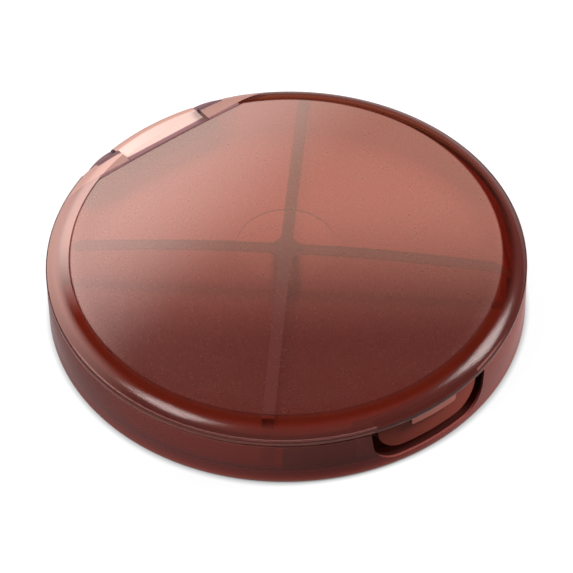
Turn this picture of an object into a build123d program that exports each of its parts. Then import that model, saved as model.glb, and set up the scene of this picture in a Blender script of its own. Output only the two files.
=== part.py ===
from build123d import *
from math import asin, degrees, radians, sqrt, tan
import os

os.makedirs("parts", exist_ok=True)

# Round travel pill case in clear tinted plastic, all in millimetres.
# Z is up, the origin is the middle of the underside, the latch faces -Y and the hinge is at +Y.

# The whole case
case_radius = 40.0
base_height = 8.8
split_gap = 0.3
edge_chamfer = 0.15

# Base tray
wall = 2.0
wall_draft = 0.5
floor_height = 1.6
floor_bevel = 1.4
bottom_bevel = 0.5
foot_width = 4.0
foot_depth = 0.4

# Upstand of the tray that the lid's rim closes over
spigot_wall = 0.7
spigot_height = 0.7

# Lid
lid_wall = 1.0
disc_wall = 1.3
lid_rim_height = 1.1
lid_rim_step = 0.2
shoulder_width = 3.8
shoulder_height = 1.85
disc_step = 0.12
dome_rise = 2.2
gate_radius = 8.3
gate_depth = 0.25

# Latch window in the tray's wall, and the lid's tab that hangs in it
window_half_width = 11.6
window_corner = 4.0
latch_taper = 7.0
tab_setback = 0.8
tab_wall = 1.0
tab_side_gap = 1.3
tab_lower_gap = 1.6
latch_room = 0.8
latch_wall = 1.2
thumb_bar_half_width = 4.5
thumb_bar_drop = 1.2
thumb_bar_round = 0.4

# Snap: a catch on the wall behind the tab, and the tab's ridge that rests below it
snap_half_width = 6.0
snap_ridge = 0.25
snap_ridge_height = 0.9
catch_drop = 2.6
snap_drop = 1.2

# Hinge
hinge_rise = 0.2
knuckle_half_width = 8.3
knuckle_radius = 2.0
knuckle_clearance = 0.3
ear_gap = 0.25
ear_width = 3.1
ear_radius = 1.15
ear_clearance = 0.25
pin_radius = 0.5
pin_grip = 4.0
pin_running_clearance = 0.05
pin_press_clearance = 0.01
pin_end_gap = 0.3
pin_chamfer = 0.12
hinge_wall = 1.2
hinge_wall_gap = 0.4

# Sunk tongue of the lid, from the disc's straight edge to the knuckle
tongue_length = 5.3
tongue_bevel = 1.6
tongue_wall = 1.4

# Compartment divider
divider_wall = 2.0
divider_corner = 2.0
divider_turn = 3.5
divider_side_clearance = 0.1
divider_top_clearance = 0.45

# Heights and radii that follow from the sizes above
draft_run = tan(radians(wall_draft))
inner_radius = case_radius - wall
floor_radius = inner_radius - (base_height - floor_height) * draft_run
spigot_outer = inner_radius + spigot_wall
spigot_top = base_height + spigot_height
lid_bottom = base_height + split_gap
lid_rim_top = lid_bottom + lid_rim_height
lid_rim_inner = case_radius - lid_wall
shoulder_outer = case_radius - lid_rim_step
shoulder_top = lid_rim_top + shoulder_height
shoulder_arc = (shoulder_width**2 + shoulder_height**2) / (2 * shoulder_height)
disc_radius = shoulder_outer - shoulder_width
disc_edge_top = shoulder_top + disc_step
dome_radius = (disc_radius**2 + dome_rise**2) / (2 * dome_rise)
lid_top = disc_edge_top + dome_rise
hollow_top = lid_top - disc_wall
hinge_y = case_radius - knuckle_radius
hinge_z = base_height + hinge_rise
lid_cut_y = hinge_y - ear_radius - ear_clearance
disc_chord_y = hinge_y - tongue_length
catch_height = base_height - catch_drop
beyond = case_radius + wall
above = lid_top + wall


def dome_height(radius, middle_height):
    """Height at a radius of a surface that bulges like the disc, from its height in the middle."""
    return middle_height - dome_radius + sqrt(dome_radius**2 - radius**2)


def shoulder_surface(radius, depth):
    """Height at a radius of the surface that lies at a depth under the lid's rounded shoulder."""
    return shoulder_top - shoulder_arc + sqrt((shoulder_arc - depth) ** 2 - (radius - disc_radius) ** 2)


def domed_disc(radius, middle_height):
    """Round block from the split up to such a surface, a cap of a ball whose poles lie at its sides."""
    with BuildPart() as block:
        with Locations((0, 0, lid_bottom)):
            Cylinder(radius, above, align=(Align.CENTER, Align.CENTER, Align.MIN))
        with Locations((0, 0, middle_height - dome_radius)):
            Sphere(dome_radius, rotation=(90, 0, 0), mode=Mode.INTERSECT)
    return block.part


def corner(sketch, x, z):
    """The corner of a section nearest to a point given by its radius and height."""
    return sketch.vertices().sort_by_distance(Vector(x, z))[0]


def latch_outline(half_width, lower_edge, corner_radius, top):
    """Front view of the latch window or of its tab: wider towards the top, rounded below."""
    taper = (top - lower_edge) * tan(radians(latch_taper))
    with BuildSketch(Plane.XZ) as outline:
        with BuildLine():
            Polyline(
                (-half_width - taper, top),
                (-half_width, lower_edge),
                (half_width, lower_edge),
                (half_width + taper, top),
                close=True,
            )
        make_face()
        fillet(outline.vertices().sort_by(Axis.Y)[:2], corner_radius)
    return outline.sketch


def snap_bead(radius, height):
    """Ridge round the latch, sloped above and below, that stands out of a cylinder to both sides."""
    half_angle = degrees(asin(snap_half_width / radius))
    with BuildPart() as bead:
        with BuildSketch(Plane.XZ.rotated((0, 0, -90 - half_angle))):
            with Locations((radius, height)):
                Polygon(
                    (snap_ridge, 0),
                    (0, snap_ridge_height / 2),
                    (-snap_ridge, 0),
                    (0, -snap_ridge_height / 2),
                )
        revolve(axis=Axis.Z, revolution_arc=2 * half_angle)
    return bead.part


# Latch window: the space cut through the tray's wall, back to the wall behind the tab
tab_outer = case_radius - tab_setback
tab_inner = tab_outer - tab_wall
latch_wall_outer = tab_inner - latch_room
latch_wall_inner = latch_wall_outer - latch_wall
window_lower_half_width = window_half_width - (base_height - floor_height) * tan(radians(latch_taper))

with BuildPart() as latch_window:
    extrude(latch_outline(window_lower_half_width, floor_height, window_corner, above), amount=beyond)
    Cylinder(latch_wall_outer, 2 * above, mode=Mode.SUBTRACT)

# Hinge ears: blocks between the hinge wall and the outer wall, each rounded about its pin
hinge_wall_outer = hinge_y - knuckle_radius - hinge_wall_gap
hinge_wall_inner = hinge_wall_outer - hinge_wall
ear_start = knuckle_half_width + ear_gap
ear_end = ear_start + ear_width

with BuildPart() as hinge_ears:
    with BuildSketch(Plane.YZ.offset(ear_start)):
        with Locations((hinge_wall_outer, floor_height)):
            Rectangle(hinge_y - hinge_wall_outer, base_height - floor_height, align=Align.MIN)
        with Locations((hinge_y, hinge_z)):
            Circle(ear_radius)
    extrude(amount=ear_width)
    mirror(about=Plane.YZ)
    Cylinder(case_radius - edge_chamfer, 2 * above, mode=Mode.INTERSECT)

# Base tray: floor, round wall and spigot, with the latch wall and the hinge wall inside
with BuildPart() as base_tray:
    with BuildSketch(Plane.XZ) as tray_section:
        with BuildLine():
            Polyline(
                (0, foot_depth),
                (case_radius - foot_width, foot_depth),
                (case_radius - foot_width, 0),
                (case_radius - base_height * draft_run, 0),
                (case_radius, base_height),
                (spigot_outer, base_height),
                (spigot_outer, spigot_top),
                (inner_radius, spigot_top),
                (inner_radius, base_height),
                (floor_radius, floor_height),
                (0, floor_height),
                close=True,
            )
        make_face()
        chamfer(corner(tray_section, case_radius, 0), bottom_bevel)
        chamfer(corner(tray_section, floor_radius, floor_height), floor_bevel)
        chamfer(corner(tray_section, case_radius, base_height), edge_chamfer)
        chamfer(corner(tray_section, spigot_outer, spigot_top), edge_chamfer)
    revolve(axis=Axis.Z)

    # The spigot ends beside the hinge, where the lid is cut away
    with BuildSketch(Plane.XY.offset(base_height)):
        with Locations((0, lid_cut_y - lid_wall)):
            Rectangle(2 * case_radius, case_radius, align=(Align.CENTER, Align.MIN))
    extrude(amount=above, mode=Mode.SUBTRACT)

    # The wall behind the latch tab, joined to the outer wall at both ends, and its catch
    with BuildSketch(Plane.XY.offset(floor_height)):
        Circle(inner_radius + wall / 2)
        Circle(latch_wall_inner, mode=Mode.SUBTRACT)
        with Locations((0, -case_radius)):
            Rectangle(2 * (window_half_width + latch_wall), case_radius, mode=Mode.INTERSECT)
    extrude(amount=base_height - floor_height)
    add(latch_window.part, mode=Mode.SUBTRACT)
    add(snap_bead(latch_wall_outer, catch_height))

    # The straight wall in front of the hinge, and the ears behind it
    with BuildSketch(Plane.XY.offset(floor_height)):
        Circle(inner_radius + wall / 2)
        with Locations((0, hinge_wall_inner)):
            Rectangle(2 * case_radius, hinge_wall, align=(Align.CENTER, Align.MIN), mode=Mode.INTERSECT)
    extrude(amount=base_height - floor_height)

    # Room for the lid's knuckle in the top of the outer wall
    knuckle_room = knuckle_radius + knuckle_clearance
    with BuildSketch(Plane.YZ.offset(-ear_start)):
        with Locations((hinge_y, hinge_z)):
            Circle(knuckle_room)
        with Locations((hinge_y, hinge_z - knuckle_room)):
            Rectangle(beyond, above, align=Align.MIN)
    extrude(amount=2 * ear_start, mode=Mode.SUBTRACT)
    add(hinge_ears.part)

    # Bores for the pins, which go in from either side
    with Locations(Location((0, hinge_y, hinge_z), (0, 90, 0))):
        Cylinder(pin_radius + pin_press_clearance, 2 * case_radius, mode=Mode.SUBTRACT)

base_tray.part.label = "base_tray"
export_step(base_tray.part, "parts/base_tray.step")

# Latch tab: a strip of ring that hangs from the lid's shoulder in the latch window
tab_lower_edge = floor_height + tab_lower_gap
tab_top = (shoulder_surface(tab_outer, 0) + shoulder_surface(tab_inner, lid_wall)) / 2
tab_lower_half_width = window_lower_half_width - tab_side_gap

with BuildPart() as latch_tab:
    extrude(latch_outline(tab_lower_half_width, tab_lower_edge, window_corner, tab_top), amount=beyond)
    Cylinder(tab_outer, 2 * above, mode=Mode.INTERSECT)
    Cylinder(tab_inner, 2 * above, mode=Mode.SUBTRACT)
    add(snap_bead(tab_inner, catch_height - snap_drop))

# Thumb bar: the lid's rim comes down further in the middle of the tab
with BuildPart() as thumb_bar:
    with BuildSketch(Plane.XZ) as bar_outline:
        with Locations((0, lid_bottom - thumb_bar_drop)):
            Rectangle(
                2 * thumb_bar_half_width,
                thumb_bar_drop + lid_rim_height / 2,
                align=(Align.CENTER, Align.MIN),
            )
        fillet(bar_outline.vertices().sort_by(Axis.Y)[:2], thumb_bar_round)
    extrude(amount=beyond)
    Cylinder(case_radius, 2 * above, mode=Mode.INTERSECT)
    Cylinder(tab_outer - tab_wall / 2, 2 * above, mode=Mode.SUBTRACT)

# Knuckle: the end of the lid's tongue, rolled round the hinge axis and cut to the round outline
tongue_top = hinge_z + knuckle_radius
tongue_bottom = tongue_top - tongue_wall

with BuildPart() as knuckle:
    with BuildSketch(Plane.YZ.offset(-knuckle_half_width)):
        with Locations((lid_cut_y - lid_wall, tongue_bottom)):
            Rectangle(hinge_y - lid_cut_y + lid_wall, tongue_wall, align=Align.MIN)
        with Locations((hinge_y, hinge_z)):
            Circle(knuckle_radius)
    extrude(amount=2 * knuckle_half_width)
    Cylinder(case_radius, 2 * above, mode=Mode.INTERSECT)
    for side in (-1, 1):
        with Locations(Location((side * knuckle_half_width, hinge_y, hinge_z), (0, 90, 0))):
            Cylinder(pin_radius + pin_running_clearance, 2 * pin_grip, mode=Mode.SUBTRACT)

# Outer form of the lid: upright rim, rounded shoulder and domed disc
tongue_start = disc_chord_y - lid_wall

with BuildPart() as lid_form:
    with BuildSketch(Plane.XZ) as form_section:
        with BuildLine():
            Polyline(
                (disc_radius, shoulder_top),
                (0, shoulder_top),
                (0, lid_bottom),
                (case_radius, lid_bottom),
                (case_radius, lid_rim_top),
                (shoulder_outer, lid_rim_top),
            )
            TangentArc((disc_radius, shoulder_top), (shoulder_outer, lid_rim_top), tangent=(1, 0))
        make_face()
        chamfer(corner(form_section, case_radius, lid_bottom), edge_chamfer)
        chamfer(corner(form_section, case_radius, lid_rim_top), edge_chamfer)
    revolve(axis=Axis.Z)
    add(domed_disc(disc_radius, lid_top))

    # The disc is cut straight along the hinge, and the rim further out
    with BuildSketch(Plane.XY.offset(shoulder_top)):
        with Locations((0, disc_chord_y)):
            Rectangle(2 * case_radius, case_radius, align=(Align.CENTER, Align.MIN))
    extrude(amount=above, mode=Mode.SUBTRACT)
    with BuildSketch(Plane.XY):
        with Locations((0, lid_cut_y)):
            Rectangle(2 * case_radius, case_radius, align=(Align.CENTER, Align.MIN))
    extrude(amount=above, mode=Mode.SUBTRACT)

    # The bevel and the sunk tongue between the disc's straight edge and the knuckle
    with BuildSketch(Plane.YZ.offset(-knuckle_half_width)):
        with BuildLine():
            Polyline(
                (disc_chord_y, above),
                (disc_chord_y, shoulder_top),
                (disc_chord_y + tongue_bevel, tongue_top),
                (beyond, tongue_top),
                (beyond, above),
                close=True,
            )
        make_face()
    extrude(amount=2 * knuckle_half_width, mode=Mode.SUBTRACT)

# Hollow of the lid, under walls of even thickness
shoulder_middle = (disc_radius + lid_rim_inner) / 2

with BuildPart() as lid_hollow:
    with BuildSketch(Plane.XZ):
        with BuildLine():
            Polyline(
                (0, 0),
                (lid_rim_inner, 0),
                (lid_rim_inner, shoulder_surface(lid_rim_inner, lid_wall)),
                (shoulder_middle, shoulder_surface(shoulder_middle, lid_wall)),
                (disc_radius, shoulder_top - lid_wall),
                (0, shoulder_top - lid_wall),
                close=True,
            )
        make_face()
    revolve(axis=Axis.Z)
    add(domed_disc(disc_radius - disc_wall, hollow_top))

    # Shallow round recess under the middle of the disc, where the plastic is let in
    with BuildSketch(Plane.XY.offset(base_height)):
        Circle(gate_radius)
    extrude(amount=dome_height(gate_radius, hollow_top) + gate_depth - base_height)

    # The tongue and its side walls stay solid
    with BuildSketch(Plane.YZ.offset(-knuckle_half_width - lid_wall)):
        with Locations((tongue_start, tongue_bottom)):
            Rectangle(case_radius, above, align=Align.MIN)
    extrude(amount=2 * (knuckle_half_width + lid_wall), mode=Mode.SUBTRACT)

# Lid: the form less its hollow, with the knuckle at one side and the latch at the other
with BuildPart() as lid:
    add(lid_form.part)
    add(lid_hollow.part, mode=Mode.SUBTRACT)
    add(knuckle.part)
    add(latch_tab.part)
    add(thumb_bar.part)

lid.part.label = "lid"
export_step(lid.part, "parts/lid.step")

# Room that the closed case leaves for the divider
room_top = hollow_top - divider_top_clearance
room_shoulder_top = shoulder_top - lid_wall - divider_top_clearance
room_radius = inner_radius - divider_side_clearance
room_floor_radius = floor_radius - divider_side_clearance
room_disc_radius = disc_radius - disc_wall - divider_top_clearance

with BuildPart() as divider_room:
    with BuildSketch(Plane.XZ) as room_section:
        with BuildLine():
            Polyline(
                (0, floor_height),
                (room_floor_radius, floor_height),
                (room_radius, base_height),
                (room_disc_radius, room_shoulder_top),
                (0, room_shoulder_top),
                close=True,
            )
        make_face()
        chamfer(corner(room_section, room_floor_radius, floor_height), floor_bevel)
    revolve(axis=Axis.Z)
    add(domed_disc(room_disc_radius, room_top))

# Divider: a loose cross, cut to that room
with BuildPart() as compartment_divider:
    with BuildSketch(Plane.XY.rotated((0, 0, 45 + divider_turn))) as cross:
        Rectangle(2 * beyond, divider_wall)
        Rectangle(divider_wall, 2 * beyond)
        fillet(cross.vertices().group_by(SortBy.DISTANCE)[0], divider_corner)
    extrude(amount=above)
    add(divider_room.part, mode=Mode.INTERSECT)

compartment_divider.part.label = "compartment_divider"
export_step(compartment_divider.part, "parts/compartment_divider.step")

# Hinge pins: two short steel pins, pressed into the ears and free to turn in the knuckle
pin_inner_end = knuckle_half_width - pin_grip + pin_end_gap
pin_length = ear_end - pin_inner_end

for side, side_name in ((-1, "left"), (1, "right")):
    with BuildPart() as hinge_pin:
        with Locations(Location((side * (ear_end - pin_length / 2), hinge_y, hinge_z), (0, 90, 0))):
            Cylinder(pin_radius, pin_length)
        chamfer(hinge_pin.edges().filter_by(GeomType.CIRCLE), pin_chamfer)
    hinge_pin.part.label = "hinge_pin_" + side_name
    export_step(hinge_pin.part, "parts/" + hinge_pin.part.label + ".step")
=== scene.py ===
from math import asin, cos, hypot, log, pi, radians, sin, sqrt, tan

import bmesh
import bpy
from bpy.props import FloatProperty, FloatVectorProperty, PointerProperty
from mathutils import Matrix, Vector


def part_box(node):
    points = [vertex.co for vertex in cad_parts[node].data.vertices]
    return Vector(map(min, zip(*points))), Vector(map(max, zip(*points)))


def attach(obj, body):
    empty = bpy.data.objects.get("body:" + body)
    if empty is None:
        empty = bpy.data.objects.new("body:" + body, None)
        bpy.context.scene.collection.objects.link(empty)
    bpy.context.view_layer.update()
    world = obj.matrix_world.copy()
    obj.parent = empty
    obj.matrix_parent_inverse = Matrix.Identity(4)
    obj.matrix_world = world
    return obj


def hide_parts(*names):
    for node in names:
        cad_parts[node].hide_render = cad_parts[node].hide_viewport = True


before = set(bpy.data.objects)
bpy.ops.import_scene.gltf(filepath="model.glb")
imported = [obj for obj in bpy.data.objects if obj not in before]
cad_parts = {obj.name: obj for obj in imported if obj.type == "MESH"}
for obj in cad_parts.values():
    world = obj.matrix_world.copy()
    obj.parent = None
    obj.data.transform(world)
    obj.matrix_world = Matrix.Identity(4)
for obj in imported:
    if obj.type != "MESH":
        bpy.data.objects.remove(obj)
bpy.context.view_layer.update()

bl_info = {
    "name": "Round Pill Case",
    "version": (1, 0, 0),
    "blender": (4, 5, 0),
    "location": "View3D > Sidebar > Pill Case",
    "description": "Round pill case in clear tinted plastic: tray, cross divider, hinged lid and steel pins",
    "category": "Add Mesh",
}

MM = 0.001
TURN_STEPS = 288

LID_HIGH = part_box("lid")[1]
PIN_LOW, PIN_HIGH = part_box("hinge_pin_right")

# Sizes of the closed case in millimetres, read from the fixed frame or repeated from the part
CASE_RADIUS = LID_HIGH.x / MM
LID_TOP = LID_HIGH.z / MM
HINGE_Y = (PIN_LOW.y + PIN_HIGH.y) / 2 / MM
HINGE_Z = (PIN_LOW.z + PIN_HIGH.z) / 2 / MM

# Tray
BASE_HEIGHT = 8.8
FLOOR_HEIGHT = 1.6
FLOOR_ROUND = 1.4
BOTTOM_ROUND = 0.5
FOOT_WIDTH = 4.0
FOOT_DEPTH = 0.4
INNER_RADIUS = CASE_RADIUS - 2.0
DRAFT_RUN = tan(radians(0.5))
FLOOR_RADIUS = INNER_RADIUS - (BASE_HEIGHT - FLOOR_HEIGHT) * DRAFT_RUN
SPIGOT_OUTER = INNER_RADIUS + 0.7
SPIGOT_TOP = BASE_HEIGHT + 0.7
SPIGOT_GAP_HALF = 20.0

# Lid
LID_WALL = 1.0
DISC_WALL = 1.3
LID_BOTTOM = BASE_HEIGHT + 0.3
RIM_TOP = LID_BOTTOM + 1.1
SHOULDER_RADIUS = CASE_RADIUS - 0.2
SHOULDER_WIDTH = 3.8
SHOULDER_HEIGHT = 1.85
SHOULDER_TOP = RIM_TOP + SHOULDER_HEIGHT
SHOULDER_ARC = (SHOULDER_WIDTH**2 + SHOULDER_HEIGHT**2) / (2 * SHOULDER_HEIGHT)
DISC_RADIUS = SHOULDER_RADIUS - SHOULDER_WIDTH
DISC_EDGE = SHOULDER_TOP + 0.12
DISC_EDGE_ROUND = 0.06
DOME_RISE = LID_TOP - DISC_EDGE
DOME_RADIUS = (DISC_RADIUS**2 + DOME_RISE**2) / (2 * DOME_RISE)
GATE_RADIUS = 8.3
GATE_DEPTH = 0.25

# Latch
WINDOW_CORNER = 4.0
WINDOW_SLOPE = tan(radians(7.0))
WINDOW_LOW_HALF = 11.6 - (BASE_HEIGHT - FLOOR_HEIGHT) * WINDOW_SLOPE
TAB_OUTER = CASE_RADIUS - 0.8
TAB_INNER = TAB_OUTER - 1.0
TAB_LOW_HALF = WINDOW_LOW_HALF - 1.3
TAB_LOW = FLOOR_HEIGHT + 1.6
TAB_TOP = SHOULDER_TOP - 1.45
LATCH_WALL_OUTER = TAB_INNER - 0.8
LATCH_WALL_INNER = LATCH_WALL_OUTER - 1.2
# The latch wall turns this far about the case's axis to each side
LATCH_WALL_TURN = asin(12.8 / 37.5)
SNAP_HALF = 6.0
SNAP_DEPTH = 0.25
SNAP_HEIGHT = 0.9
CATCH_HEIGHT = BASE_HEIGHT - 2.6
TAB_RIDGE_HEIGHT = CATCH_HEIGHT - 1.2
BAR_HALF = 4.5
BAR_LOW = LID_BOTTOM - 1.2
BAR_TOP = LID_BOTTOM + 0.55
BAR_ROUND = 0.4

# Hinge and tongue
KNUCKLE_HALF = 8.3
KNUCKLE_RADIUS = 2.0
KNUCKLE_ROOM = KNUCKLE_RADIUS + 0.3
KNUCKLE_BORE = 0.55
KNUCKLE_BORE_DEPTH = 4.0
EAR_START = KNUCKLE_HALF + 0.25
EAR_END = 15.6
EAR_ROUND = 1.15
EAR_BORE = 0.51
EAR_LIMIT = CASE_RADIUS - 0.15
HINGE_WALL_OUTER = HINGE_Y - KNUCKLE_RADIUS - 0.4
HINGE_WALL_INNER = HINGE_WALL_OUTER - 1.2
HINGE_WALL_HALF = 17.0
LID_CUT_Y = HINGE_Y - 1.4
DISC_CHORD_Y = HINGE_Y - 5.3
TONGUE_SLOPE_RUN = 1.6
TONGUE_TOP = HINGE_Z + KNUCKLE_RADIUS
TONGUE_BOTTOM = TONGUE_TOP - 1.4

# Divider
ARM_HALF = 1.0
ARM_TURN = 48.5
ARM_CORNER = 2.0
DIVIDER_PLAY = 0.1
DIVIDER_TOP_GAP = 0.45

# Blocks that cut or join: FAR is beyond the case, HIGH above the lid, LOW below the lid's rim and,
# as a negative height, below the case, and LATCH_REACH in front of the middle. BITE is how deep a
# block reaches into the body that it joins, and SKIN how far it stays short of a face
FAR = 50.0
HIGH = 20.0
LOW = 5.0
LATCH_REACH = 20.0
BITE = 0.5
SKIN = 0.01

# How near points are merged, how near they lie to a ring that is rounded, and the angle between
# faces from which their edge is sharp
MERGE_DISTANCE = 0.0005 * MM
RING_REACH = 0.02 * MM
SHARP_ANGLE = radians(24)

# Photograph's line of sight: its turn from the hinge direction and its rise in degrees, and the
# height that it meets the case's axis at
VIEW_TURN = 36.0
VIEW_RISE = 46.829
VIEW_HEIGHT = 9.0

# Flow marks of the plastic with their height in millimetres and their tone, and handling wear with
# its roughness and the tone that it gives to a matt place's colour
FLOW_HEIGHT = 0.012
FLOW_TONE = (0.97, 0.97, 0.97)
WEAR_ROUGHNESS = 0.03
WEAR_TONE = 0.92

# Colours of the divider's tint, of the matt and cloudy places, of painted light and shade on the plastic,
# and of steel and floor
WHITE = (1.0, 1.0, 1.0)
DIVIDER_TINT = (0.94, 0.84, 0.83)
TRAY_CLOUD_AND_HIGHLIGHT = (0.75, 0.22, 0.19)
EAR_PAINTED_SHADE = (0.13, 0.07, 0.08)
LATCH_GAP_PAINTED_SHADE = (0.02, 0.004, 0.003)
ARM_PAINTED_LIGHT = (0.72, 0.4, 0.4)
ARM_PAINTED_SHADE = (0.36, 0.16, 0.18)
FOOT_RUST = (0.75, 0.3, 0.22)
DISC_BACK_PAINTED_SHEEN = (0.86, 0.46, 0.34)
DISC_CORNER_PAINTED_SHEEN = (0.86, 0.64, 0.6)
SHOULDER_CLOUD_AND_DARK_REFLECTION = (0.1, 0.018, 0.014)
SHOULDER_PAINTED_HIGHLIGHT = (0.72, 0.41, 0.35)
RING_PAINTED_HIGHLIGHT = (0.7, 0.44, 0.39)
RIM_PAINTED_GLOW = (0.7, 0.3, 0.25)
TONGUE_PAINTED_LIGHT = (0.76, 0.53, 0.47)
KNUCKLE_RUST = (0.58, 0.33, 0.27)
GROOVE_PAINTED_SHADE = (0.2, 0.1, 0.105)
SIDE_RUST = (0.58, 0.31, 0.26)
HINGE_PAINTED_SHADE = (0.08, 0.04, 0.05)
TAB_RED = (0.3, 0.05, 0.03)
BAR_PAINTED_HIGHLIGHT = (0.6, 0.2, 0.15)
STEEL_DARK = (0.52, 0.51, 0.5)
STEEL_LIGHT = (0.75, 0.74, 0.73)
FLOOR_SHADE = (0.32, 0.32, 0.32)


class PillCaseLooks(bpy.types.PropertyGroup):
    """Sizes and colours that a user would change."""

    edge_round: FloatProperty(
        name="Edge Rounding",
        description="Rounding of the moulded edges",
        default=0.18 * MM,
        min=0.02 * MM,
        max=0.4 * MM,
        precision=5,
        unit="LENGTH",
    )
    lid_tint: FloatVectorProperty(
        name="Lid Tint",
        description="Colour that white light keeps after one millimetre of the lid's plastic",
        default=(0.80, 0.555, 0.525),
        subtype="COLOR",
        size=3,
        min=0.0,
        max=1.0,
    )
    tray_tint: FloatVectorProperty(
        name="Tray Tint",
        description="Colour that white light keeps after one millimetre of the tray's plastic",
        default=(0.62, 0.22, 0.18),
        subtype="COLOR",
        size=3,
        min=0.0,
        max=1.0,
    )
    ring_colour: FloatVectorProperty(
        name="Ring Colour",
        description="Colour of the deeper tinted ring round the frosted disc",
        default=(0.85, 0.36, 0.17),
        subtype="COLOR",
        size=3,
        min=0.0,
        max=1.0,
    )
    polish: FloatProperty(
        name="Polish",
        description="Roughness of the polished plastic",
        default=0.03,
        min=0.0,
        max=1.0,
        subtype="FACTOR",
    )
    frost: FloatProperty(
        name="Frost",
        description="Roughness of the frosted disc",
        default=0.26,
        min=0.0,
        max=1.0,
        subtype="FACTOR",
    )
    floor_colour: FloatVectorProperty(
        name="Floor Colour",
        description="Colour of the plain floor",
        default=(0.9, 0.9, 0.9),
        subtype="COLOR",
        size=3,
        min=0.0,
        max=1.0,
    )
    camera_distance: FloatProperty(
        name="Camera Distance",
        description="Distance of the camera from the middle of the case",
        default=0.7,
        min=0.2,
        max=3.0,
        unit="LENGTH",
    )


# Modelling tools


class Section:
    """Half section of a turned part, drawn from point to point as radius and height in millimetres."""

    def __init__(self, radius, height):
        self.mesh = bmesh.new()
        self.tip = self.mesh.verts.new((radius * MM, 0, height * MM))

    def line(self, *points):
        for radius, height in points:
            following = self.mesh.verts.new((radius * MM, 0, height * MM))
            self.mesh.edges.new((self.tip, following))
            self.tip = following
        return self

    def arc(self, radius, height, angle, steps):
        """Carries the line on along a circle about a point."""
        made = bmesh.ops.spin(
            self.mesh,
            geom=[self.tip],
            cent=(radius * MM, 0, height * MM),
            axis=(0, 1, 0),
            angle=angle,
            steps=steps,
            use_duplicate=False,
        )
        self.tip = next(item for item in made["geom_last"] if isinstance(item, bmesh.types.BMVert))
        return self

    def close(self):
        first = self.mesh.verts[:][0]
        self.mesh.edges.new((self.tip, first))
        return self

    def turned(self, name):
        """Object that the section makes on a full turn about the upright axis."""
        bmesh.ops.spin(
            self.mesh,
            geom=self.mesh.verts[:] + self.mesh.edges[:],
            cent=(0, 0, 0),
            axis=(0, 0, 1),
            angle=2 * pi,
            steps=TURN_STEPS,
            use_merge=True,
            use_duplicate=False,
        )
        bmesh.ops.remove_doubles(self.mesh, verts=self.mesh.verts, dist=MERGE_DISTANCE)
        bmesh.ops.recalc_face_normals(self.mesh, faces=self.mesh.faces)
        return placed(name, self.mesh)

    def swept(self, name, half_angle, steps):
        """Object that the closed section makes on a part of a turn, even to both sides of the latch."""
        bmesh.ops.contextual_create(self.mesh, geom=self.mesh.edges[:])
        bmesh.ops.rotate(
            self.mesh,
            cent=(0, 0, 0),
            matrix=Matrix.Rotation(-pi / 2 - half_angle, 3, "Z"),
            verts=self.mesh.verts,
        )
        bmesh.ops.spin(
            self.mesh,
            geom=self.mesh.verts[:] + self.mesh.edges[:] + self.mesh.faces[:],
            cent=(0, 0, 0),
            axis=(0, 0, 1),
            angle=2 * half_angle,
            steps=steps,
            use_duplicate=False,
        )
        bmesh.ops.recalc_face_normals(self.mesh, faces=self.mesh.faces)
        return placed(name, self.mesh)


def placed(name, mesh):
    """Puts a finished mesh into the scene as an object at the origin."""
    data = bpy.data.meshes.new(name)
    mesh.to_mesh(data)
    mesh.free()
    made = bpy.data.objects.new(name, data)
    bpy.context.scene.collection.objects.link(made)
    return made


# How an outline's two directions, and the axis that it is pushed along, lie in the scene
AXES = {
    "X": Matrix(((0, 0, 1), (1, 0, 0), (0, 1, 0))),
    "Y": Matrix(((1, 0, 0), (0, 0, 1), (0, 1, 0))),
    "Z": Matrix.Identity(3),
}


def rectangle(left, low, right, high):
    """Outline whose first two corners are the lower ones."""
    return [(left, low), (right, low), (right, high), (left, high)]


def pushed(name, axis, outline, start, end, rounded=(), size=0.0, segments=6):
    """Flat outline pushed along an axis, its numbered corners rounded first."""
    mesh = bmesh.new()
    turn = AXES[axis]
    corners = [mesh.verts.new(turn @ Vector((u * MM, v * MM, start * MM))) for u, v in outline]
    face = mesh.faces.new(corners)
    if rounded:
        bmesh.ops.bevel(
            mesh,
            geom=[corners[i] for i in rounded],
            affect="VERTICES",
            offset_type="OFFSET",
            offset=size * MM,
            segments=segments,
            profile=0.5,
            material=-1,
        )
        face = mesh.faces[:][0]
    grown = bmesh.ops.extrude_face_region(mesh, geom=[face])
    bmesh.ops.translate(
        mesh,
        vec=turn @ Vector((0, 0, (end - start) * MM)),
        verts=[item for item in grown["geom"] if isinstance(item, bmesh.types.BMVert)],
    )
    bmesh.ops.recalc_face_normals(mesh, faces=mesh.faces)
    return placed(name, mesh)


def rod(name, radius, start, end, segments=48):
    """Round rod along the hinge's axis."""
    mesh = bmesh.new()
    middle = Matrix.Translation(((start + end) / 2 * MM, HINGE_Y * MM, HINGE_Z * MM))
    bmesh.ops.create_cone(
        mesh,
        cap_ends=True,
        segments=segments,
        radius1=radius * MM,
        radius2=radius * MM,
        depth=(end - start) * MM,
        matrix=middle @ Matrix.Rotation(pi / 2, 4, "Y"),
    )
    return placed(name, mesh)


def drum(name, radius):
    """Upright round block about the middle of the case, longer than the case is high."""
    return Section(0, -LOW).line((radius, -LOW), (radius, FAR), (0, FAR)).turned(name)


def shaped(body, *changes):
    """Applies boolean changes, given as pairs of operation and tool, and removes the tools."""
    for operation, tool in changes:
        change = body.modifiers.new(tool.name, "BOOLEAN")
        change.operation = operation
        change.object = tool
        change.solver = "EXACT"
    bpy.context.view_layer.update()
    graph = bpy.context.evaluated_depsgraph_get()
    rough = body.data
    data = bpy.data.meshes.new_from_object(body.evaluated_get(graph))
    body.modifiers.clear()
    body.data = data
    bpy.data.meshes.remove(rough)
    for operation, tool in changes:
        bpy.data.objects.remove(tool)
    return body


def on_ring(place, radius, height):
    """Whether a point lies on a circle about the upright axis."""
    off_radius = abs(hypot(place.x, place.y) - radius * MM)
    return off_radius < RING_REACH and abs(place.z - height * MM) < RING_REACH


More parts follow.
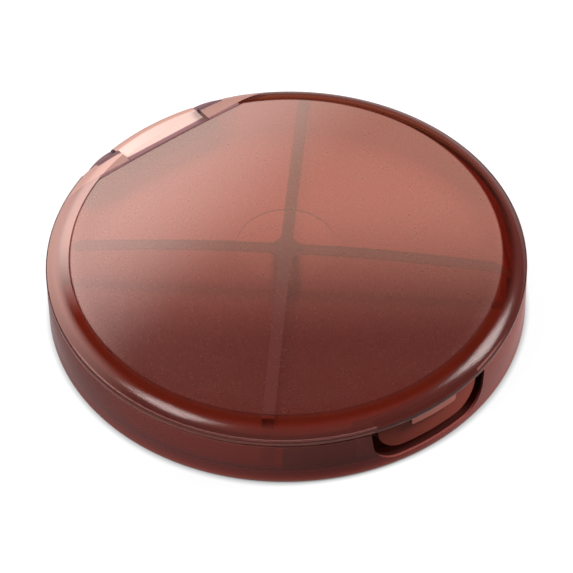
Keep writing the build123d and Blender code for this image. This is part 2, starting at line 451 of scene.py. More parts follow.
def rounded_rings(body, rings):
    """Rounds circular edges, each given by its radius, height, size and number of facets."""
    mesh = bmesh.new()
    mesh.from_mesh(body.data)
    for radius, height, size, segments in rings:
        near = {corner for corner in mesh.verts if on_ring(corner.co, radius, height)}
        edges = [edge for edge in mesh.edges if near.issuperset(edge.verts)]
        bmesh.ops.bevel(
            mesh,
            geom=edges,
            affect="EDGES",
            offset_type="OFFSET",
            offset=size * MM,
            segments=segments,
            profile=0.5,
            material=-1,
        )
    mesh.to_mesh(body.data)
    mesh.free()
    return body


def finished(body, material, node, ride):
    """Shades a piece smoothly between its sharp edges and puts it in the place of its CAD node."""
    mesh = bmesh.new()
    mesh.from_mesh(body.data)
    bmesh.ops.remove_doubles(mesh, verts=mesh.verts, dist=MERGE_DISTANCE)
    mesh.to_mesh(body.data)
    mesh.free()
    body.data.shade_smooth()
    body.data.set_sharp_from_angle(angle=SHARP_ANGLE)
    body.data.materials.clear()
    body.data.materials.append(material)
    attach(body, ride)
    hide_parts(node)
    return body


# Shading tools


class Wire:
    """Output of a shader node that Python's operators extend with Math nodes."""

    def __init__(self, network, socket):
        self.network = network
        self.socket = socket

    def maths(self, operation, *values):
        return self.network.node("ShaderNodeMath", {"operation": operation}, dict(enumerate(values)))

    def __add__(self, other):
        return self.maths("ADD", self, other)

    __radd__ = __add__

    def __sub__(self, other):
        return self.maths("SUBTRACT", self, other)

    def __rsub__(self, other):
        return self.maths("SUBTRACT", other, self)

    def __mul__(self, other):
        return self.maths("MULTIPLY", self, other)

    __rmul__ = __mul__

    def __pow__(self, other):
        return self.maths("POWER", self, other)

    def __abs__(self):
        return self.maths("ABSOLUTE", self)

    def __gt__(self, other):
        return self.maths("GREATER_THAN", self, other)

    def __lt__(self, other):
        return self.maths("LESS_THAN", self, other)


class Network:
    """A node tree and the ways in which nodes are added to it."""

    def __init__(self, tree):
        self.tree = tree

    def node(self, kind, settings=None, inputs=None, output=0):
        """New node with its settings made first and its sockets filled by values or links."""
        made = self.tree.nodes.new(kind)
        for name, value in (settings or {}).items():
            setattr(made, name, value)
        for name, value in (inputs or {}).items():
            if isinstance(value, Wire):
                self.tree.links.new(value.socket, made.inputs[name])
            else:
                made.inputs[name].default_value = value
        return Wire(self, made.outputs[output])

    def split(self, kind, outputs, inputs=None):
        """Several outputs of one new node."""
        made = self.node(kind, inputs=inputs).socket.node
        return [Wire(self, made.outputs[output]) for output in outputs]

    def feed(self, name, socket, wire):
        """Links a wire to a node that came with the tree."""
        self.tree.links.new(wire.socket, self.tree.nodes[name].inputs[socket])

    def soft_step(self, value, low, high):
        """Rises smoothly from 0 to 1 while a value passes from low to high."""
        return self.node(
            "ShaderNodeMapRange",
            {"interpolation_type": "SMOOTHSTEP"},
            {"Value": value, "From Min": low, "From Max": high},
        )

    def larger(self, first, second):
        return self.node("ShaderNodeMath", {"operation": "MAXIMUM"}, {0: first, 1: second})

    def mixed(self, factor, first, second):
        """Blend of two colours."""
        first, second = [part if isinstance(part, Wire) else (*part, 1.0) for part in (first, second)]
        inputs = {"Factor": factor, 6: first, 7: second}
        return self.node("ShaderNodeMix", {"data_type": "RGBA"}, inputs, output=2)


class Finish(Network):
    """A material and its node tree, emptied down to the output."""

    def __init__(self, name):
        self.material = bpy.data.materials.new(name)
        self.material.use_nodes = True
        super().__init__(self.material.node_tree)
        self.tree.nodes.remove(self.tree.nodes["Principled BSDF"])

    def place(self):
        """Where a point of the piece lies, in millimetres from the middle of the underside."""
        here = self.node("ShaderNodeTexCoord", output="Object")
        return self.node("ShaderNodeVectorMath", {"operation": "SCALE"}, {0: here, "Scale": 1 / MM})

    def noise(self, place, scale, detail=2.0, roughness=0.5):
        return self.node(
            "ShaderNodeTexNoise",
            {"noise_dimensions": "3D"},
            {"Vector": place, "Scale": scale, "Detail": detail, "Roughness": roughness},
        )

    def bump(self, height, strength):
        """Unevenness from a height in millimetres."""
        inputs = {"Strength": strength, "Distance": MM, "Height": height}
        return self.node("ShaderNodeBump", inputs=inputs)

    def principled(self, inputs):
        return self.node("ShaderNodeBsdfPrincipled", inputs=inputs)

    def layered(self, share, below, above):
        """One surface laid over another by a share."""
        return self.node("ShaderNodeMixShader", inputs={0: share, 1: below, 2: above})

    def done(self, surface, volume=None):
        """Material with its surface and volume linked to the output."""
        self.feed("Material Output", "Surface", surface)
        if volume:
            self.feed("Material Output", "Volume", volume)
        return self.material


class Plastic(Finish):
    """Clear tinted plastic as it comes polished from the mould, with matt or frosted places and places of
    painted light and shade.
    """

    def __init__(self, name, looks):
        super().__init__(name)
        self.spot = self.place()
        self.x, self.y, self.z = self.split("ShaderNodeSeparateXYZ", "XYZ", {0: self.spot})
        self.across = abs(self.x)
        self.radius = (self.x * self.x + self.y * self.y) ** 0.5
        # Height that a point has once the dome's curve is taken away, the same all over the disc
        self.flattened = self.z + self.radius * self.radius * (0.5 / DOME_RADIUS)
        # Slow flow marks of the mould and fine handling wear
        flow = self.noise(self.spot, scale=0.12)
        self.wear = self.noise(self.spot, scale=2.4, detail=4.0, roughness=0.6)
        self.rough = looks.polish + WEAR_ROUGHNESS * self.soft_step(self.wear, 0.55, 0.75)
        self.height = FLOW_HEIGHT * flow
        self.colour = self.mixed(flow, FLOW_TONE, WHITE)
        self.matt_places = []

    def towards(self, turn):
        """Level distance from the middle in a direction, given by its turn from the hinge in degrees."""
        return sin(radians(turn)) * self.x + cos(radians(turn)) * self.y

    def matt(self, share, colour, rough=0.5, shine=0.5):
        """Lays a matt layer over a place, by the share of light that it scatters, in a colour of its own:
        cloudiness, or painted light and shade.
        """
        self.matt_places.append((share, colour, rough, shine))

    def cast(self, tint, gloss, bend):
        """Material made of the tint per millimetre, the colour of its gloss and its refractive index."""
        bump = self.bump(self.height, strength=0.5)
        surface = self.principled(
            {
                "Base Color": self.colour,
                "Roughness": self.rough,
                "IOR": bend,
                "Specular Tint": (*gloss, 1.0),
                "Transmission Weight": 1.0,
                "Normal": bump,
            }
        )
        for share, colour, rough, shine in self.matt_places:
            shade = self.mixed(self.wear, [WEAR_TONE * part for part in colour], colour)
            matt = self.principled(
                {"Base Color": shade, "Roughness": rough, "Specular IOR Level": shine, "Normal": bump}
            )
            surface = self.layered(share, surface, matt)
        # On each metre the volume takes away its density times what its colour lacks
        density = 2000.0
        kept = [max(0.0, 1 + log(part) / MM / density) for part in tint]
        inputs = {"Color": (*kept, 1.0), "Density": density}
        volume = self.node("ShaderNodeVolumeAbsorption", inputs=inputs)
        return self.done(surface, volume)


# Materials


def tray_plastic(looks):
    """Deep tinted and a little cloudy, with a painted highlight on the wall at the right, painted shade on
    the ears and painted near-black shade in the latch's gap.
    """
    plastic = Plastic("tray_plastic", looks)
    wall = plastic.radius > CASE_RADIUS - 0.5
    # Painted highlight: the wall grows paler towards the right, on top of the plastic's real cloud
    right = plastic.soft_step(plastic.towards(VIEW_TURN + 90), 16, 40)
    # Painted shade: the ears' tops beside the knuckle are darkened like the shadowed gap under the lid's cut
    ears = (
        (plastic.y > LID_CUT_Y - 0.2)
        * (plastic.z > BASE_HEIGHT + 2 * SKIN)
        * (plastic.across > KNUCKLE_HALF)
    )
    # Painted shade: the gap round the latch wall, with the inner wall's face beside it, is darkened nearly
    # to black
    gap = (
        (plastic.y < -30)
        * (plastic.z > FLOOR_HEIGHT - 0.05)
        * (plastic.radius > LATCH_WALL_OUTER - 0.1)
        * (1 - wall)
    )
    plastic.matt(0.16 + 0.16 * right * wall, TRAY_CLOUD_AND_HIGHLIGHT, shine=0.1)
    plastic.matt(0.8 * ears, EAR_PAINTED_SHADE)
    plastic.matt(0.9 * gap, LATCH_GAP_PAINTED_SHADE, rough=0.15, shine=0.1)
    return plastic.cast(looks.tray_tint, gloss=(1.0, 0.3, 0.22), bend=1.33)


def divider_plastic(looks):
    """Nearly clear, matt on its foot and along the edges that face the lid and the wall, those edges painted
    lighter towards the front and darker towards the back as light and shade.
    """
    plastic = Plastic("divider_plastic", looks)
    top = plastic.flattened > LID_TOP - DISC_WALL - DIVIDER_TOP_GAP - 0.4
    edge = plastic.larger(top, plastic.radius > DISC_RADIUS + 0.6)
    # Painted light and shade: the arms' edges are paler towards the front and darker towards the back
    back = plastic.soft_step(plastic.towards(VIEW_TURN), -14, 8)
    plastic.matt(0.85 * edge * (1 - back), ARM_PAINTED_LIGHT, shine=0.2)
    plastic.matt(0.85 * edge * back, ARM_PAINTED_SHADE, shine=0.2)
    plastic.matt(0.6 * (plastic.z < FLOOR_HEIGHT + 2 * SKIN), FOOT_RUST, shine=0.1)
    return plastic.cast(DIVIDER_TINT, gloss=(1.0, 0.7, 0.64), bend=1.2)


def frosted_disc(plastic, looks):
    """Frost on the disc, with a painted pale sheen over it towards the back and again towards the hinge's
    left end.
    """
    disc = (
        plastic.soft_step(plastic.radius, DISC_RADIUS - 0.02, DISC_RADIUS - 0.35)
        * plastic.soft_step(plastic.y, DISC_CHORD_Y - 0.02, DISC_CHORD_Y - 0.35)
        * (plastic.flattened > LID_TOP - DISC_WALL / 2)
    )
    cloud = plastic.noise(plastic.spot, scale=0.35, detail=3.0, roughness=0.55)
    plastic.rough = plastic.rough + disc * (looks.frost - looks.polish + 0.05 * (cloud - 0.5))
    # Painted sheen: the frosted disc is made paler towards the back and towards the hinge's left end
    back = plastic.soft_step(plastic.towards(VIEW_TURN), -22, 12)
    corner = plastic.soft_step(plastic.y - 0.3 * plastic.x, 4, 30)
    plastic.matt(0.12 * disc * back, DISC_BACK_PAINTED_SHEEN)
    plastic.matt(0.12 * disc * corner, DISC_CORNER_PAINTED_SHEEN)


def ring_and_rim(plastic, looks):
    """Deep tinted ring round the disc, a dark shoulder with a painted dark reflection, painted highlights on
    ring and shoulder at the left, and a painted glow on the rim's edge.
    """
    back = plastic.towards(VIEW_TURN)
    left = plastic.towards(VIEW_TURN - 90)
    ring = plastic.soft_step(plastic.radius, DISC_RADIUS, DISC_RADIUS + 0.2) * plastic.soft_step(
        plastic.radius, DISC_RADIUS + 3.1, DISC_RADIUS + 2.3
    )
    plastic.colour = plastic.mixed(ring, plastic.colour, looks.ring_colour)
    outside = plastic.soft_step(plastic.radius, DISC_RADIUS + 1.2, DISC_RADIUS + 2.6)
    shoulder = outside * (plastic.z > RIM_TOP)
    inside = ring * (1 - outside) * (plastic.z > RIM_TOP)
    low_edge = (plastic.radius > CASE_RADIUS - 0.25) * (plastic.z < LID_BOTTOM + 0.22)
    plastic.rough = plastic.rough + 0.08 * shoulder
    # Opaque dark layer on the shoulder: it hides the parts inside and is a painted dark reflection
    plastic.matt(0.5 * outside * (plastic.z > LID_BOTTOM + 0.2), SHOULDER_CLOUD_AND_DARK_REFLECTION, rough=0.15)
    # Painted highlights: shoulder and ring grow paler towards the left and the back
    paler = plastic.soft_step(left, 24, 38) * (0.4 + 0.6 * plastic.soft_step(back, -22, 4))
    plastic.matt(0.42 * shoulder * paler, SHOULDER_PAINTED_HIGHLIGHT)
    paler = plastic.soft_step(left, 18, 30) * plastic.soft_step(back, -14, 6)
    plastic.matt(0.5 * inside * paler, RING_PAINTED_HIGHLIGHT, rough=0.3, shine=0.2)
    # Painted glow: a pale band along the rim's lower edge
    plastic.matt(0.5 * low_edge, RIM_PAINTED_GLOW)


def hinge_tongue(plastic):
    """Tongue from the disc backwards, as groove, flat and round knuckle, and the lid's edge beside it: the
    flat painted pale as lit, the groove and the cut beside the knuckle painted dark as shade.
    """
    behind = (plastic.y > DISC_CHORD_Y) * (plastic.z > HINGE_Z - 0.5)
    tongue = behind * (plastic.across < KNUCKLE_HALF - 0.05)
    beside = behind * (plastic.across > KNUCKLE_HALF - 0.05)
    flat = plastic.y > DISC_CHORD_Y + 2.2
    knuckle = plastic.radius > CASE_RADIUS - 1.9
    groove = plastic.y < DISC_CHORD_Y + 0.7
    # Painted light: the tongue's flat is paler
    plastic.matt(0.6 * tongue * flat * (1 - knuckle), TONGUE_PAINTED_LIGHT)
    plastic.matt(0.6 * tongue * knuckle, KNUCKLE_RUST)
    # Painted shade: the groove along the disc's straight edge is darkened
    plastic.matt(0.85 * tongue * (1 - flat), GROOVE_PAINTED_SHADE, shine=0.1)
    plastic.matt(0.7 * beside * groove * (plastic.across < 14.5), GROOVE_PAINTED_SHADE, shine=0.1)
    plastic.matt(0.4 * beside * (1 - groove) * (plastic.radius < CASE_RADIUS - 0.5), SIDE_RUST)
    # Painted shade: the cut beside the knuckle is darkened nearly to black
    cut = beside * (plastic.y > LID_CUT_Y - 0.9) * (plastic.across < 13)
    plastic.matt(0.85 * cut, HINGE_PAINTED_SHADE, rough=0.4, shine=0.2)


def snap_tab(plastic):
    """Tab under the rim, and the thumb bar that stands out from it, painted paler than the tab as a
    highlight.
    """
    tab = (plastic.z < LID_BOTTOM - 0.1) * (plastic.y < 0)
    bar = tab * (plastic.radius > TAB_OUTER + 0.25)
    plastic.matt(0.9 * tab, TAB_RED, rough=0.3, shine=0.08)
    # Painted highlight: the thumb bar is paler than the tab
    plastic.matt(0.7 * bar, BAR_PAINTED_HIGHLIGHT, rough=0.25, shine=0.3)


def lid_plastic(looks):
    """The lid's plastic from the disc outwards, each later place laid over the ones before."""
    plastic = Plastic("lid_plastic", looks)
    frosted_disc(plastic, looks)
    ring_and_rim(plastic, looks)
    hinge_tongue(plastic)
    snap_tab(plastic)
    return plastic.cast(looks.lid_tint, gloss=(1.0, 0.7, 0.6), bend=1.5)


def drawn_steel(name):
    """Bright wire with fine lines along its length."""
    steel = Finish(name)
    stretched = steel.node(
        "ShaderNodeVectorMath", {"operation": "MULTIPLY"}, {0: steel.place(), 1: (0.4, 14.0, 14.0)}
    )
    lines = steel.noise(stretched, scale=1.0, detail=3.0, roughness=0.6)
    surface = steel.principled(
        {
            "Base Color": steel.mixed(lines, STEEL_DARK, STEEL_LIGHT),
            "Metallic": 1.0,
            "Roughness": 0.22 + 0.18 * lines,
            "Normal": steel.bump(0.01 * lines, strength=0.3),
        }
    )
    return steel.done(surface)


def plain_floor(name, looks):
    """Pale floor that shows white to the camera and through the case, keeps the case's shadow and has a
    shadow painted under the case.
    """
    paint = Finish(name)
    place = paint.place()
    mottle = paint.noise(place, scale=0.02, detail=3.0)
    darker = [0.98 * value for value in looks.floor_colour]
    colour = paint.mixed(mottle, darker, looks.floor_colour)
    lit = paint.principled({"Base Color": colour, "Roughness": 0.6})
    camera, mirrored, through = paint.split(
        "ShaderNodeLightPath", ("Is Camera Ray", "Is Glossy Ray", "Is Transmission Ray")
    )
    # A shadow is painted into the floor's glow where the case stands, least towards the lamps behind it
    away = paint.node("ShaderNodeVectorMath", {"operation": "LENGTH"}, {0: place}, output="Value")
    inputs = {0: place, 1: (0.5, 0.87, 0.0)}
    back = paint.node("ShaderNodeVectorMath", {"operation": "DOT_PRODUCT"}, inputs, output="Value")
    under = paint.mixed(paint.soft_step(back, -14, 26), FLOOR_SHADE, WHITE)
    free = paint.soft_step(away, CASE_RADIUS - 0.5, CASE_RADIUS + 1)
    inputs = {"Color": paint.mixed(free, under, WHITE), "Strength": 1.0}
    glow = paint.node("ShaderNodeEmission", inputs=inputs)
    share = paint.larger(through, paint.larger(0.75 * camera, 0.4 * mirrored))
    return paint.done(paint.layered(share, lit, glow))


# Pieces


def latch_outline(low_half, low, high):
    """Front view of the latch window or of its tab: wider towards the top."""
    high_half = low_half + (high - low) * WINDOW_SLOPE
    return [(-low_half, low), (low_half, low), (high_half, high), (-high_half, high)]


def latch_block(name, outline, corner, segments):
    """Block across the latch, its two lower corners rounded."""
    return pushed(
        name, "Y", outline, -FAR, -LATCH_REACH, rounded=(0, 1), size=corner, segments=segments
    )


def snap_ridge(name, radius, height):
    """Low sloped ridge round the latch."""
    section = Section(radius + SNAP_DEPTH, height).line(
        (radius, height + SNAP_HEIGHT / 2),
        (radius - SNAP_DEPTH, height),
        (radius, height - SNAP_HEIGHT / 2),
    )
    return section.close().swept(name, asin(SNAP_HALF / radius), steps=24)


def tray_shell(edge):
    """Turned tray: foot ring, outer wall, spigot that centres the lid, inner wall and floor."""
    foot = CASE_RADIUS - FOOT_WIDTH
    low_radius = CASE_RADIUS - BASE_HEIGHT * DRAFT_RUN
    section = Section(0, FOOT_DEPTH).line(
        (foot, FOOT_DEPTH),
        (foot, 0),
        (low_radius, 0),
        (CASE_RADIUS, BASE_HEIGHT),
        (SPIGOT_OUTER, BASE_HEIGHT),
        (SPIGOT_OUTER, SPIGOT_TOP),
        (INNER_RADIUS, SPIGOT_TOP),
        (INNER_RADIUS, BASE_HEIGHT),
        (FLOOR_RADIUS, FLOOR_HEIGHT),
        (0, FLOOR_HEIGHT),
    )
    rings = (
        (low_radius, 0, BOTTOM_ROUND, 5),
        (CASE_RADIUS, BASE_HEIGHT, edge, 3),
        (SPIGOT_OUTER, SPIGOT_TOP, edge, 3),
        (FLOOR_RADIUS, FLOOR_HEIGHT, FLOOR_ROUND, 6),
        (foot, 0, edge, 3),
    )
    return rounded_rings(section.turned("tray"), rings)


def latch_wall():
    """Inner wall behind the latch window."""
    low = FLOOR_HEIGHT - BITE
    high = BASE_HEIGHT - SKIN
    outer = INNER_RADIUS + BITE
    section = Section(LATCH_WALL_INNER, low).line((outer, low), (outer, high), (LATCH_WALL_INNER, high))
    return section.close().swept("latch_wall", LATCH_WALL_TURN, steps=48)


def latch_window():
    """Room of the latch, from outside up to the latch wall."""
    outline = latch_outline(WINDOW_LOW_HALF, FLOOR_HEIGHT, HIGH)
    window = latch_block("window", outline, WINDOW_CORNER, segments=12)
    return shaped(window, ("DIFFERENCE", drum("window_core", LATCH_WALL_OUTER)))


def knuckle_room():
    """Room in the tray that the lid's knuckle turns in."""
    outline = rectangle(HINGE_Y, HINGE_Z - KNUCKLE_ROOM, FAR, HIGH)
    room = pushed("knuckle_room", "X", outline, -EAR_START, EAR_START)
    barrel = rod("knuckle_round", KNUCKLE_ROOM, -EAR_START, EAR_START, segments=96)
    return shaped(room, ("UNION", barrel))


def hinge_ear(side):
    """Ear that holds a pin beside the knuckle, ending along the case's round outline."""
    near, far = sorted((side * EAR_START, side * EAR_END))
    outline = rectangle(HINGE_WALL_OUTER - BITE, FLOOR_HEIGHT - BITE, HINGE_Y, BASE_HEIGHT - 2 * SKIN)
    return shaped(
        pushed("ear", "X", outline, near, far),
        ("UNION", rod("ear_round", EAR_ROUND, near, far)),
        ("INTERSECT", drum("ear_limit", EAR_LIMIT)),
    )


class PILLCASE_OT_tray(bpy.types.Operator):
    """Make the tray with its latch window, hinge wall and ears"""

    bl_idname = "pillcase.tray"
    bl_label = "Tray"

    def execute(self, context):
        looks = context.scene.pill_case
        tray = tray_shell(looks.edge_round / MM)
        spigot_gap = rectangle(-SPIGOT_GAP_HALF, LID_CUT_Y - LID_WALL, SPIGOT_GAP_HALF, FAR)
        hinge_wall = rectangle(-HINGE_WALL_HALF, HINGE_WALL_INNER, HINGE_WALL_HALF, HINGE_WALL_OUTER)
        shaped(
            tray,
            ("DIFFERENCE", pushed("spigot_gap", "Z", spigot_gap, BASE_HEIGHT, HIGH)),
            ("UNION", latch_wall()),
            ("DIFFERENCE", latch_window()),
            ("UNION", snap_ridge("catch", LATCH_WALL_OUTER, CATCH_HEIGHT)),
            ("UNION", pushed("hinge_wall", "Z", hinge_wall, FLOOR_HEIGHT - BITE, BASE_HEIGHT - SKIN)),
            ("DIFFERENCE", knuckle_room()),
        )
        shaped(tray, *(("UNION", hinge_ear(side)) for side in (-1, 1)))
        shaped(tray, ("DIFFERENCE", rod("bores", EAR_BORE, -FAR, FAR)))
        finished(tray, tray_plastic(looks), "base_tray", "tray")
        return {"FINISHED"}


def cross_outline():
    """Plan of the cross: for each arm an inner corner and the two corners of its end."""
    outline = []
    for quarter in range(4):
        turn = Matrix.Rotation(radians(ARM_TURN - 90 * quarter), 2)
        for point in ((ARM_HALF, ARM_HALF), (FAR, ARM_HALF), (FAR, -ARM_HALF)):
            outline.append(tuple(turn @ Vector(point)))
    return outline


def divider_room():
    """Round block that the divider fills: under the lid, inside the wall and on the floor."""
    top = LID_TOP - DISC_WALL - DIVIDER_TOP_GAP
    radius = DISC_RADIUS - DISC_WALL - DIVIDER_TOP_GAP
    low_radius = FLOOR_RADIUS - DIVIDER_PLAY
    bevel = FLOOR_ROUND * (1 - sqrt(0.5))
    section = Section(0, top).arc(0, top - DOME_RADIUS, asin(radius / DOME_RADIUS), steps=10)
    section.line(
        (radius, SHOULDER_TOP - LID_WALL - DIVIDER_TOP_GAP),
        (INNER_RADIUS - DIVIDER_PLAY, BASE_HEIGHT),
        (low_radius, FLOOR_HEIGHT + FLOOR_ROUND),
        (low_radius - bevel, FLOOR_HEIGHT + bevel),
        (low_radius - FLOOR_ROUND, FLOOR_HEIGHT + SKIN),
        (0, FLOOR_HEIGHT + SKIN),
    )
    return section.turned("divider_room")


class PILLCASE_OT_divider(bpy.types.Operator):
    """Make the loose cross divider"""

    bl_idname = "pillcase.divider"
    bl_label = "Divider"

    def execute(self, context):
        looks = context.scene.pill_case
        inner_corners = (0, 3, 6, 9)
        divider = pushed(
            "divider", "Z", cross_outline(), 0, HIGH, rounded=inner_corners, size=ARM_CORNER, segments=10
        )
        shaped(divider, ("INTERSECT", divider_room()))
        finished(divider, divider_plastic(looks), "compartment_divider", "tray")
        return {"FINISHED"}


def lid_form(edge):
    """Solid lid: domed disc, small step, rounded shoulder and rim."""
    form = Section(0, LID_TOP)
    form.arc(0, LID_TOP - DOME_RADIUS, asin(DISC_RADIUS / DOME_RADIUS), steps=16)
    form.line((DISC_RADIUS, SHOULDER_TOP))
    form.arc(DISC_RADIUS, SHOULDER_TOP - SHOULDER_ARC, asin(SHOULDER_WIDTH / SHOULDER_ARC), steps=14)
    form.line((CASE_RADIUS, RIM_TOP), (CASE_RADIUS, LID_BOTTOM), (0, LID_BOTTOM))
    rings = (
        (CASE_RADIUS, RIM_TOP, edge, 3),
        (CASE_RADIUS, LID_BOTTOM, edge, 3),
        (DISC_RADIUS, DISC_EDGE, DISC_EDGE_ROUND, 2),
    )
    return rounded_rings(form.turned("lid_shell"), rings)


def lid_hollow():
    """Hollow under the lid: the gate mark, the dome, the shoulder and the rim, clear of the tongue."""
    top = LID_TOP - DISC_WALL
    gate_height = top - DOME_RADIUS + sqrt(DOME_RADIUS**2 - GATE_RADIUS**2)
    dome_turn = asin((DISC_RADIUS - DISC_WALL) / DOME_RADIUS) - asin(GATE_RADIUS / DOME_RADIUS)
    rim_inner = CASE_RADIUS - LID_WALL
    rim_turn = asin((rim_inner - DISC_RADIUS) / (SHOULDER_ARC - LID_WALL))
    hollow = Section(0, top + GATE_DEPTH)
    hollow.line((GATE_RADIUS, gate_height + GATE_DEPTH), (GATE_RADIUS, gate_height))
    hollow.arc(0, top - DOME_RADIUS, dome_turn, steps=14)
    hollow.line((DISC_RADIUS, SHOULDER_TOP - LID_WALL))
    hollow.arc(DISC_RADIUS, SHOULDER_TOP - SHOULDER_ARC, rim_turn, steps=12)
    hollow.line((rim_inner, LOW), (0, LOW))
    outline = rectangle(DISC_CHORD_Y - LID_WALL, TONGUE_BOTTOM, FAR, HIGH)
    tongue = pushed("tongue_keep", "X", outline, -KNUCKLE_HALF - LID_WALL, KNUCKLE_HALF + LID_WALL)
    return shaped(hollow.turned("hollow"), ("DIFFERENCE", tongue))


def tongue_cut():
    """What is cut off above the tongue: a slope down from the disc's straight edge, then level."""
    outline = [
        (DISC_CHORD_Y, HIGH),
        (DISC_CHORD_Y, SHOULDER_TOP),
        (DISC_CHORD_Y + TONGUE_SLOPE_RUN, TONGUE_TOP),
        (FAR, TONGUE_TOP),
        (FAR, HIGH),
    ]
    return pushed("tongue_cut", "X", outline, -KNUCKLE_HALF, KNUCKLE_HALF)


def lid_knuckle():
    """Knuckle at the tongue's end, rounded outside along the case, with a bore for each pin."""
    outline = rectangle(LID_CUT_Y - LID_WALL, TONGUE_BOTTOM, HINGE_Y, TONGUE_TOP)
    knuckle = pushed("knuckle", "X", outline, -KNUCKLE_HALF, KNUCKLE_HALF)
    barrel = rod("knuckle_barrel", KNUCKLE_RADIUS, -KNUCKLE_HALF, KNUCKLE_HALF, segments=96)
    low = HINGE_Z - 1.5 * KNUCKLE_RADIUS
    limit = Section(0, low).line((CASE_RADIUS, low), (CASE_RADIUS, HINGE_Z))
    limit.arc(CASE_RADIUS - KNUCKLE_RADIUS, HINGE_Z, -pi / 2, steps=10).line((0, TONGUE_TOP))
    shaped(knuckle, ("UNION", barrel), ("INTERSECT", limit.turned("knuckle_limit")))
    for side in (-1, 1):
        ends = side * (KNUCKLE_HALF - KNUCKLE_BORE_DEPTH), side * (KNUCKLE_HALF + KNUCKLE_BORE_DEPTH)
        shaped(knuckle, ("DIFFERENCE", rod("bore", KNUCKLE_BORE, *sorted(ends))))
    return knuckle


def lid_tab():
    """Snap tab that hangs in the latch window, with the ridge on its inner face."""
    outline = latch_outline(TAB_LOW_HALF, TAB_LOW, TAB_TOP)
    return shaped(
        latch_block("tab", outline, WINDOW_CORNER, segments=12),
        ("INTERSECT", drum("tab_outer", TAB_OUTER)),
        ("DIFFERENCE", drum("tab_inner", TAB_INNER)),
        ("UNION", snap_ridge("tab_ridge", TAB_INNER, TAB_RIDGE_HEIGHT)),
    )


def thumb_bar():
    """Bar under the rim that a thumb lifts the lid by."""
    outline = rectangle(-BAR_HALF, BAR_LOW, BAR_HALF, BAR_TOP)
    return shaped(
        latch_block("thumb_bar", outline, BAR_ROUND, segments=4),
        ("INTERSECT", drum("bar_outer", CASE_RADIUS)),
        ("DIFFERENCE", drum("bar_inner", TAB_OUTER - BITE)),
    )


class PILLCASE_OT_lid(bpy.types.Operator):
    """Make the lid with its frosted disc, hinge tongue and snap tab"""

    bl_idname = "pillcase.lid"
    bl_label = "Lid"

    def execute(self, context):
        looks = context.scene.pill_case
        lid = lid_form(looks.edge_round / MM)
        behind_disc = rectangle(-FAR, DISC_CHORD_Y, FAR, FAR)
        behind_rim = rectangle(-FAR, LID_CUT_Y, FAR, FAR)
        shaped(
            lid,
            ("DIFFERENCE", pushed("chord_cut", "Z", behind_disc, SHOULDER_TOP, HIGH)),
            ("DIFFERENCE", pushed("hinge_cut", "Z", behind_rim, 0, HIGH)),
            ("DIFFERENCE", tongue_cut()),
        )
        shaped(lid, ("DIFFERENCE", lid_hollow()))
        shaped(lid, ("UNION", lid_knuckle()), ("UNION", lid_tab()), ("UNION", thumb_bar()))
        finished(lid, lid_plastic(looks), "lid", "lid")
        return {"FINISHED"}


class PILLCASE_OT_pins(bpy.types.Operator):
    """Give the two hinge pins their drawn steel"""

    bl_idname = "pillcase.pins"
    bl_label = "Hinge Pins"

    def execute(self, context):
        steel = drawn_steel("pin_steel")
        for name in ("hinge_pin_left", "hinge_pin_right"):
            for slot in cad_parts[name].material_slots:
                slot.material = steel
        return {"FINISHED"}


# Stage


# Each lamp's name, place, width, height and power, in metres and watts
LAMPS = (
    ("lamp_back", (0.38, 0.56, 0.42), 0.90, 0.47, 3.4),
    ("lamp_front", (-0.50, -0.60, 0.75), 1.40, 1.00, 2.8),
    ("lamp_corner", (-0.03, 0.68, 0.42), 0.40, 0.50, 4.0),
    ("lamp_left", (-0.50, 0.12, 0.74), 0.35, 0.30, 10.0),
    ("lamp_right", (0.66, -0.27, 0.56), 0.35, 0.40, 13.0),
)

# Largest ray depth that a lamp shines on: 0 is the direct view and 1 is one mirror image
LAMP_REACH = 1.5

# Camera fitted to the photograph: its width, focal length and shifts in pixels, its roll in degrees
PHOTO_WIDTH = 573
PHOTO_FOCAL = 4206.6
PHOTO_SHIFT_X = 0.054
PHOTO_SHIFT_Y = -21.868
PHOTO_ROLL = -1.057
SENSOR_WIDTH = 36.0


def aimed(item, place, target, roll=0.0):
    """Points a lamp or camera from its place at a target, turned about its own line of sight."""
    place = Vector(place)
    turn = (Vector(target) - place).to_track_quat("-Z", "Y").to_matrix().to_4x4()
    item.matrix_world = Matrix.Translation(place) @ turn @ Matrix.Rotation(roll, 4, "Z")


def soft_lamp(name, place, wide, high, watts, target):
    """Area lamp that lights only what is seen directly or in one mirror image.

    So no path inside the clear plastic ends in a bright speck.
    """
    light = bpy.data.lights.new(name, "AREA")
    light.shape = "RECTANGLE"
    light.size = wide
    light.size_y = high
    light.energy = watts
    light.use_nodes = True
    network = Network(light.node_tree)
    depth = network.node("ShaderNodeLightPath", output="Ray Depth")
    network.feed("Emission", "Strength", depth < LAMP_REACH)
    lamp = bpy.data.objects.new(name, light)
    bpy.context.scene.collection.objects.link(lamp)
    aimed(lamp, place, target)


def studio_room():
    """Dim world that is a brighter, even light where it is seen through the plastic."""
    world = bpy.data.worlds.new("studio")
    world.use_nodes = True
    network = Network(world.node_tree)
    through = network.node("ShaderNodeLightPath", output="Is Transmission Ray")
    inputs = {"Value": through, "To Min": 0.08, "To Max": 0.8}
    network.feed("Background", "Strength", network.node("ShaderNodeMapRange", inputs=inputs))
    network.tree.nodes["Background"].inputs["Color"].default_value = (*WHITE, 1.0)
    return world


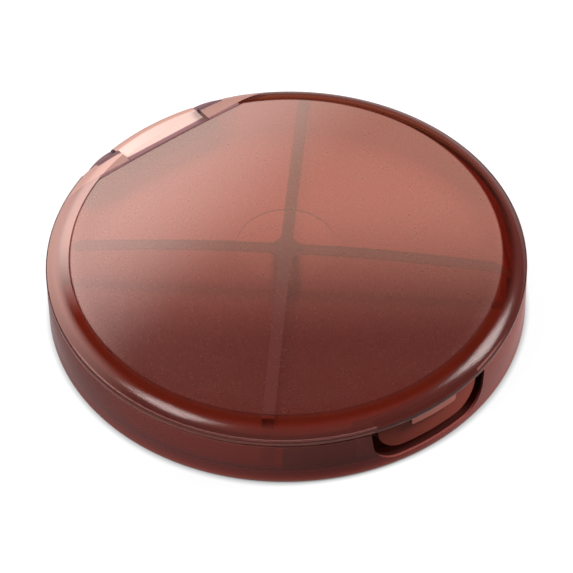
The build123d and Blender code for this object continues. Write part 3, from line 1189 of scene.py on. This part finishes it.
def photo_camera(distance, target):
    """Camera at the photograph's angle."""
    data = bpy.data.cameras.new("camera")
    data.sensor_width = SENSOR_WIDTH
    data.lens = PHOTO_FOCAL / PHOTO_WIDTH * SENSOR_WIDTH
    data.shift_x = PHOTO_SHIFT_X / PHOTO_WIDTH
    data.shift_y = PHOTO_SHIFT_Y / PHOTO_WIDTH
    data.clip_start = 0.01
    camera = bpy.data.objects.new("camera", data)
    bpy.context.scene.collection.objects.link(camera)
    turn = radians(VIEW_TURN)
    rise = radians(VIEW_RISE)
    way = Vector((-sin(turn) * cos(rise), -cos(turn) * cos(rise), sin(rise)))
    aimed(camera, target + way * distance, target, radians(PHOTO_ROLL))
    return camera


class PILLCASE_OT_stage(bpy.types.Operator):
    """Make the floor, the soft studio light and the camera"""

    bl_idname = "pillcase.stage"
    bl_label = "Stage"

    def execute(self, context):
        looks = context.scene.pill_case
        mesh = bmesh.new()
        bmesh.ops.create_grid(mesh, x_segments=1, y_segments=1, size=3.0)
        floor = placed("floor", mesh)
        floor.data.materials.append(plain_floor("floor_plain", looks))
        middle = Vector((0, 0, VIEW_HEIGHT * MM))
        for lamp in LAMPS:
            soft_lamp(*lamp, middle)
        scene = context.scene
        scene.world = studio_room()
        scene.camera = photo_camera(looks.camera_distance, middle)
        scene.view_settings.view_transform = "Standard"
        return {"FINISHED"}


class PILLCASE_PT_panel(bpy.types.Panel):
    """Pieces of the pill case and their looks"""

    bl_label = "Pill Case"
    bl_idname = "PILLCASE_PT_panel"
    bl_space_type = "VIEW_3D"
    bl_region_type = "UI"
    bl_category = "Pill Case"

    def draw(self, context):
        looks = context.scene.pill_case
        for name in looks.bl_rna.properties.keys():
            if name not in ("rna_type", "name"):
                self.layout.prop(looks, name)
        for operator in OPERATORS:
            self.layout.operator(operator.bl_idname)


OPERATORS = (
    PILLCASE_OT_stage,
    PILLCASE_OT_tray,
    PILLCASE_OT_divider,
    PILLCASE_OT_lid,
    PILLCASE_OT_pins,
)


def register():
    for kind in (PillCaseLooks, *OPERATORS, PILLCASE_PT_panel):
        bpy.utils.register_class(kind)
    bpy.types.Scene.pill_case = PointerProperty(type=PillCaseLooks)


def unregister():
    del bpy.types.Scene.pill_case
    for kind in reversed((PillCaseLooks, *OPERATORS, PILLCASE_PT_panel)):
        bpy.utils.unregister_class(kind)


def main():
    register()
    bpy.ops.pillcase.stage()
    bpy.ops.pillcase.tray()
    bpy.ops.pillcase.divider()
    bpy.ops.pillcase.lid()
    bpy.ops.pillcase.pins()


if __name__ == "__main__":
    main()
